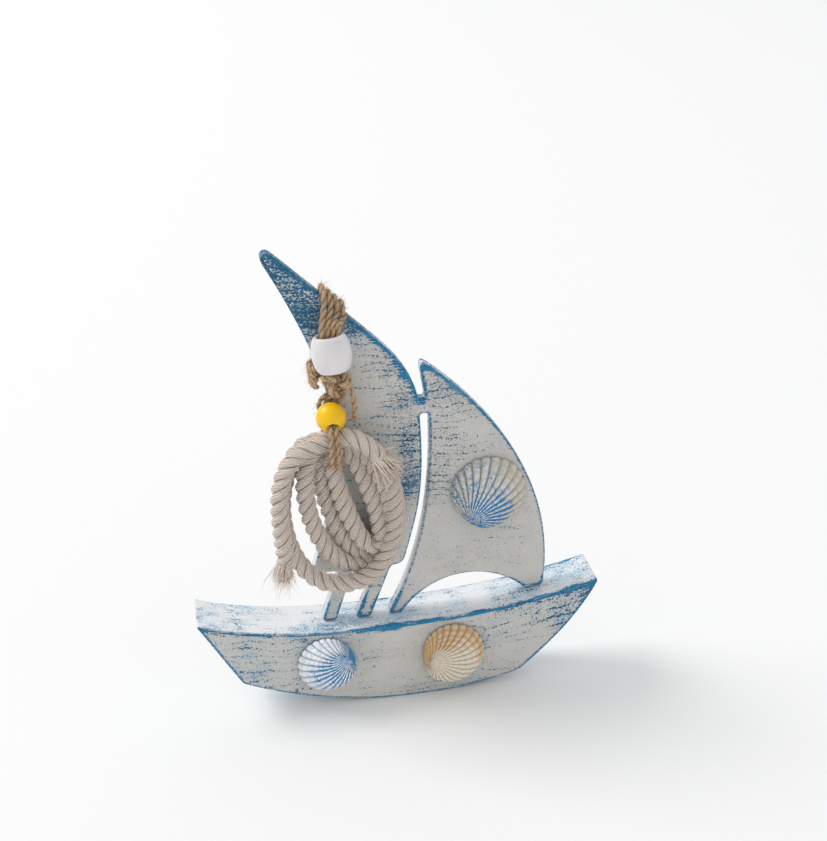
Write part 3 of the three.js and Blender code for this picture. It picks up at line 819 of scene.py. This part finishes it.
def sail_wear(x, z, facing, flat):
    """Wear of the sails: broad bands along the edges that slope up to the right, most at the shoulder
    by the bridge, narrow ones at the slot and feet, and thin lines elsewhere."""
    slope = step_up(facing[:, 0] * 0.6 + facing[:, 1], 0.35, 1.1)
    shoulder = np.exp(-((x - 6) / 7) ** 2 - ((z - 118) / 10) ** 2)
    slot = np.exp(-((x - 7 + ((z - 107) / 36) ** 2 * 4.5) / 5) ** 2) * step_up(-z, -108, -98)
    feet, struts = step_up(-z, -41, -36), step_up(-z, -57, -54) * step_up(-x, 0, 8)
    tops = step_up(z, 84, 122)
    reach = 0.2 + slope * (0.3 + 0.8 * tops) + shoulder * 1.7 + slot * 0.45 + feet * 0.9 - struts * 0.4
    left = np.exp(-((x - 14) / 14) ** 2)
    dotted = -0.1 + 0.95 * left * step_up(z, 62, 86) + 1.6 * step_up(z, 130, 146) + 0.5 * slot
    dotted = dotted + 0.55 * step_up(-x, -9, -3) * step_up(z, 58, 80)
    wash = 0.14 + 0.55 * step_up(z, 122, 150) + 0.15 * step_up(-x, -9, -3) + ~flat * 0.2
    return reach, dotted, wash, z + 0.03 * x


def hull_wear(x, z, facing, flat):
    """Wear of the hull: a line along the deck edge that grows towards the stern, streaks below it at
    the stern that follow the sheer, a speckled bow, and a bluish deck."""
    deck, keel = step_up(facing[:, 1], 0.6, 0.95), step_up(-facing[:, 1], 0.6, 0.95)
    stern, bow = step_up(facing[:, 0], 0.4, 0.8), step_up(-facing[:, 0], 0.4, 0.8)
    patch = np.exp(-((x + 6) / 12) ** 2)
    deck_line = 0.25 + 0.35 * step_up(x, -30, 20) + 0.9 * patch
    reach = 0.25 + deck * deck_line + stern * 0.6 + bow * 0.25 + keel * 0.05
    corner = np.exp(-((x + 57) / 7) ** 2 - (z / 6) ** 2) + np.exp(-((x - 68) / 8) ** 2 - ((z - 34) / 7) ** 2)
    reach = reach + corner * 1.5
    aft = step_up(x, 8, 46) * step_up(z, 12, 27)
    dense = 1.05 * aft + 0.6 * step_up(-x, 20, 55) + 0.2 * step_up(-z, -12, -4)
    dotted = 0.1 + dense * np.where(flat, 1, 0.2)
    wash = np.where(flat, 0.22 + 0.35 * step_up(-x, 20, 55) + 0.5 * aft, 0.6)
    sheer = ((x / 72) ** 2 * 9 + x * 0.055) * np.clip(z / 34, 0, 1)
    return reach, dotted, wash, z - sheer


def face_points(rim, into, low, high, spacing):
    """Points inside a flat face: a shaken grid that keeps clear of the rim, and two rings along it."""
    across, upward = np.arange(low[0], high[0], spacing), np.arange(low[2], high[2], spacing)
    grid = np.stack(np.meshgrid(across, upward), -1).reshape(-1, 2)
    grid = grid + random.uniform(-0.2, 0.2, grid.shape) * spacing
    grid = grid[inside(grid, rim)]
    grid = grid[edge_distance(grid, rim) > spacing * 0.55]
    rings = [(rim + into * reach)[::2] for reach in (0.9, 2.0)]
    rings = [ring[inside(ring, rim)] for ring in rings]
    rings = [ring[edge_distance(ring, rim) > 0.6] for ring in rings]
    return np.vstack([grid, *rings])


def fill_rim(rim, middle):
    """Triangles that fill the rim by way of the points inside it: the spots that they join, the
    triangles, and for each spot its number on the rim, or -1."""
    count = len(rim)
    seeds = [Vector(p) for p in np.vstack([rim, middle]).tolist()]
    loop = [(i, (i + 1) % count) for i in range(count)]
    spots, _, triangles, *_ = delaunay_2d_cdt(seeds, loop, [], 1, 1e-6)
    spots = np.array([tuple(p) for p in spots])
    first = {tuple(np.round(p, 4)): i for i, p in enumerate(rim.tolist())}
    match = np.array([first.get(tuple(np.round(p, 4)), -1) for p in spots.tolist()])
    return spots, np.array(triangles), match


def add_board(name, node, material, wear, *, step, spacing, wave):
    """A sawn, sanded board: rings of points run round the edge from the front face over its rounding
    and the sawn side to the back face, and each face is filled with triangles. The flat faces
    and sides carry a slight unevenness, and `worn` is the distance to the nearest sanded edge."""
    corners, edge = sawn_outline(node)
    low, high = (np.array(corner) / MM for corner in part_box(node))
    half = (high[1] - low[1]) / 2
    line = even_outline(corners, step)
    into = inward(line)
    rounding = np.linspace(0, math.pi / 2, 5)
    side_levels = np.linspace(-half + edge, half - edge, max(3, round(half / 1.2)))[1:-1]
    drop, pull = edge * (1 - np.sin(rounding)), edge * (1 - np.cos(rounding))
    depth = np.concatenate([-half + pull, side_levels, half - pull[::-1]])
    inset = np.concatenate([drop, np.zeros(len(side_levels)), drop[::-1]])
    flat = line[None] + into[None] * inset[:, None, None]
    level = np.broadcast_to(depth[:, None], flat.shape[:2])
    rings = np.stack([flat[..., 0], level, flat[..., 1]], axis=-1)
    rim = line + into * edge
    spots, triangles, match = fill_rim(rim, face_points(rim, into, low, high, spacing))
    count, rows = len(line), len(depth)
    new = match < 0
    base = rows * count
    front_at = np.where(new, base + np.cumsum(new) - 1, match)
    back_at = np.where(new, base + new.sum() + np.cumsum(new) - 1, (rows - 1) * count + match)
    inner = spots[new]
    front_face = np.stack([inner[:, 0], np.full(len(inner), -half), inner[:, 1]], axis=1)
    back_face = front_face * [1, -1, 1]
    points = np.vstack([rings.reshape(-1, 3), front_face, back_face])
    quads = grid_faces(rows, count)
    faces = [*quads.tolist(), *front_at[triangles].tolist(), *back_at[triangles][:, ::-1].tolist()]
    to_edge = edge_distance(inner, line)
    to_side = np.minimum(depth + half, half - depth)
    worn = np.concatenate([np.repeat(to_side, count), to_edge, to_edge])
    x, z = points[:, 0], points[:, 2]
    ripple = np.sin(x * 0.11 + z * 0.35) * 0.5 + np.sin(x * 0.043 - z * 0.21 + 2) * 0.5
    points[:, 1] += ripple * wave * np.sign(points[:, 1])
    flat = np.abs(points[:, 1]) > half - 0.6 - wave
    reach, dotted, wash, rise = wear(x, z, nearest_facing(points[:, [0, 2]], line), flat)
    # The sawn sides, all but the flat faces, are marked here for the painted highlight that worn_paint puts
    # on them.
    values = {"worn": worn, "reach": reach, "dotted": dotted, "wash": wash, "rise": rise, "painted_side_light": ~flat}
    points[:, 2] = np.maximum(points[:, 2], low[2])
    board = piece(name, points, faces, material, "root", values=values, weld=False)
    face_outward(board.data, False)
    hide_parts(node)


# ---- shells --------------------------------------------------------------------------------

# How far a shell's ribs fan out, seen from its beak.
SHELL_FAN = math.radians(236)


def shell_crown(t):
    """Height of a shell's dome, before scaling, at the share t of the way from beak to rim."""
    return (1 - t ** 2.4) ** 0.6 * (1 + 0.8 * t * (1 - t))


def shell_rim(low, high, lean, columns):
    """Rim of a shell round its own middle, scaled so that it fills its box when turned by lean:
    the angle of each point, the points, their span, and where the middle lies in X and Z."""
    a = FULL_TURN * np.arange(columns) / columns
    reach = 0.44 + 0.09 * (0.5 + 0.5 * np.cos(a)) ** 0.7
    across, upward = reach * np.cos(a + lean), reach * np.sin(a + lean)
    wide, tall = across.max() - across.min(), upward.max() - upward.min()
    span = min((high[0] - low[0]) / wide, (high[2] - low[2]) / tall) * 1.005
    rim = np.stack([np.cos(a), np.sin(a)], axis=1) * (reach * span)[:, None]
    centre = (low + high) / 2
    at_x = centre[0] - span * (across.max() + across.min()) / 2
    at_z = centre[2] - span * (upward.max() + upward.min()) / 2
    return a, rim, span, at_x, at_z


def add_shell(name, node, material, *, dome, turn, ribs):
    """A cockle shell. With t from the beak to the rim, a point is beak + t * (rim(a) - beak), and
    its height is shell_crown(t), scaled to the dome. Ribs are |sin|^0.7 of the angle seen from the
    beak and grow with t, the rim waves with them, and the beak twists to one side. A foot ring and
    a smooth hollow close the shell below."""
    thick, rim_wave, lowest = 0.9, 0.05, 0.05
    columns, rows = 480, 56
    low, high = (np.array(corner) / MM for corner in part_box(node))
    lean = math.radians(turn + 180)
    a, rim, span, at_x, at_z = shell_rim(low, high, lean, columns)
    beak = np.array([-0.36 * span, 0])
    seen = np.arctan2(rim[:, 1], rim[:, 0] - beak[0])
    fan = np.clip(np.abs(seen) / (SHELL_FAN / 2), 0, 1)
    rib = np.abs(np.sin(seen / SHELL_FAN * ribs * math.pi)) ** 0.7 * (1 - fan ** 6)
    t = np.linspace(0, 1, rows)[:, None] ** 0.8
    crown = shell_crown(t)
    crown = crown / crown.max()
    relief = (rib[None, :] - 0.6) * span * 0.034 * np.minimum(1, t * 1.7 + 0.08)
    rings = np.sin(t * 30 + 0.6 * np.sin(a[None, :] * 3)) * 0.06 + np.sin(t * 13) * 0.05
    height = crown * (dome - thick) + thick * (1 - t ** 6 * 0.35) + relief * (1 - 0.3 * t ** 8) + rings * t
    height = np.maximum(height, thick * 0.55)
    scallop = 1 + (rib - 0.6) * rim_wave
    flat = beak + t[..., None] * (rim * scallop[:, None] - beak)[None]
    twist = 0.5 * (1 - t) ** 3
    hook = np.exp(-(t / 0.22) ** 2) * span * 0.03
    from_beak = flat[..., 0] - beak[0]
    flat_x = beak[0] + from_beak * np.cos(twist) - flat[..., 1] * np.sin(twist) - hook
    flat_z = flat[..., 1] * np.cos(twist) + from_beak * np.sin(twist)
    inner_t = t[::-1][::5] * 0.93
    inner = beak + inner_t[..., None] * (rim - beak)[None]
    inner_height = np.maximum(shell_crown(inner_t) * 0.78 * (dome - thick), lowest)
    foot = flat[-1:] * 0.985
    x = np.vstack([flat_x, foot[..., 0], inner[..., 0]])
    z = np.vstack([flat_z, foot[..., 1], inner[..., 1]])
    out = np.vstack([height, np.full((1, columns), lowest),
                     np.broadcast_to(inner_height, inner[..., 0].shape)])
    points = np.stack([at_x + x * math.cos(lean) - z * math.sin(lean), high[1] - out,
                       at_z + x * math.sin(lean) + z * math.cos(lean)], axis=-1)
    ways = np.concatenate([t[:, 0], [1.0], inner_t[:, 0]])
    row, column = np.meshgrid(np.arange(len(ways) - 1), np.arange(columns), indexing="ij")
    after = (column + 1) % columns
    place = np.clip(0.5 + seen / SHELL_FAN, 0, 1)
    uv = np.stack([ways[row], place[column], ways[row], place[after], ways[row + 1], place[after],
                   ways[row + 1], place[column]], axis=-1).reshape(-1, 2)
    ridge = np.vstack([np.broadcast_to(rib, (rows, columns)), np.zeros((len(ways) - rows, columns))])
    shell = piece(name, points, grid_faces(len(ways), columns), material, "root", uv=uv,
                  values={"ridge": ridge})
    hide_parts(node)


# ---- beads ---------------------------------------------------------------------------------

def add_bead(name, node, material, centre, axis, half, profile):
    """A turned bead: its profile, pairs of distance along the axis as a share of half and radius in
    millimetres, runs from one mouth over the outside to the other and back through the bore."""
    columns = 96
    axis = unit(np.array(axis, float))
    side = unit(np.cross(axis, [0.2, 1, 0.1]))
    up = np.cross(axis, side)
    line = np.array(profile, float) * [half, 1]
    line, at = smooth_line(np.vstack([line, line[:1]]), 0.14)
    turn = FULL_TURN * np.arange(columns) / columns
    around = np.cos(turn)[:, None] * side + np.sin(turn)[:, None] * up
    points = centre + line[:, None, :1] * axis + line[:, None, 1:] * around
    bead = piece(name, points, grid_faces(len(line), columns), material, node, uv=grid_uv(at, columns))
    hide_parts(node)


def add_beads():
    """The white barrel, which leans a little on its strands, and the yellow ball."""
    pearl = lacquer_finish("pearl_lacquer", (0.78, 0.75, 0.76), (0.70, 0.67, 0.69), 0.34, 0.2)
    shoulder = [(0.94, 3.85), (0.985, 4.2), (1.0, 4.6), (0.97, 5.0), (0.86, 5.5), (0.6, 6.15), (0.3, 6.5)]
    lower = [(-along, radius) for along, radius in reversed(shoulder)]
    barrel = [*shoulder, (0, 6.62), *lower, (-0.6, 3.75), (0, 3.7), (0.6, 3.75)]
    lean = (-0.09, 0.10, 1)
    add_bead("barrel", "barrel_bead", pearl, barrel_centre, lean, 6.1, barrel)
    yellow = lacquer_finish("yellow_lacquer", (0.95, 0.58, 0.0), (0.90, 0.50, 0.0), 0.25, 0.1)
    radius, half, bore, mouth = 5.05, 4.6, 1.9, 1.98
    arc = np.radians(np.linspace(62, -62, 15))
    ball = [(math.sin(a) * radius / half, math.cos(a) * radius) for a in arc]
    ball = [(0.97, mouth), *ball, (-0.97, mouth), (-0.5, bore), (0, bore), (0.5, bore)]
    axis = (0, math.cos(BALL_TILT), math.sin(BALL_TILT))
    add_bead("ball", "yellow_bead", yellow, ball_centre, axis, half, ball)


# ---- whole boat ----------------------------------------------------------------------------

def finish_kept(prefix, material):
    """Puts a finish on the CAD parts that stay visible."""
    for name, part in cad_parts.items():
        if name.startswith(prefix):
            for held in part.material_slots:
                held.material = material


def add_shells():
    """The whitewashed shell on the jib, the white and blue one at the bow and the cream one aft."""
    jib = shell_finish("shell_jib", crest=(0.70, 0.69, 0.66), valley=(0.30, 0.29, 0.27),
                       natural=(0.56, 0.49, 0.37), natural_from=0.42, natural_side=-0.9,
                       patch=0.66, paint_side=-1.1, dots=1.0)
    bow = shell_finish("shell_bow", crest=(0.88, 0.88, 0.88), valley=(0.36, 0.44, 0.58),
                       natural=(0.70, 0.66, 0.60), natural_from=3, natural_side=0,
                       patch=0.86, paint_side=0.7, dots=0.35)
    stern = shell_finish("shell_stern", crest=(0.84, 0.77, 0.64), valley=(0.50, 0.39, 0.27),
                         natural=(0.60, 0.36, 0.13), natural_from=0.50, natural_side=1.0,
                         patch=-2, paint_side=0, dots=0)
    add_shell("cockle_on_jib", "shell_sail", jib, dome=7, turn=232, ribs=26)
    add_shell("cockle_on_bow", "shell_hull_bow", bow, dome=7, turn=38, ribs=25)
    add_shell("cockle_on_stern", "shell_hull_stern", stern, dome=8, turn=177, ribs=26)


def main():
    add_camera()
    add_rope()
    add_twine()
    add_studio()
    add_board("painted_hull", "hull", worn_paint("hull_paint"), hull_wear,
              step=0.9, spacing=2.2, wave=0.10)
    add_board("painted_sails", "sail_board", worn_paint("sail_paint"), sail_wear,
              step=0.8, spacing=2.2, wave=0.05)
    add_shells()
    add_beads()
    finish_kept("foot_brad", steel_finish())
    finish_kept("glue", glue_finish())


main()
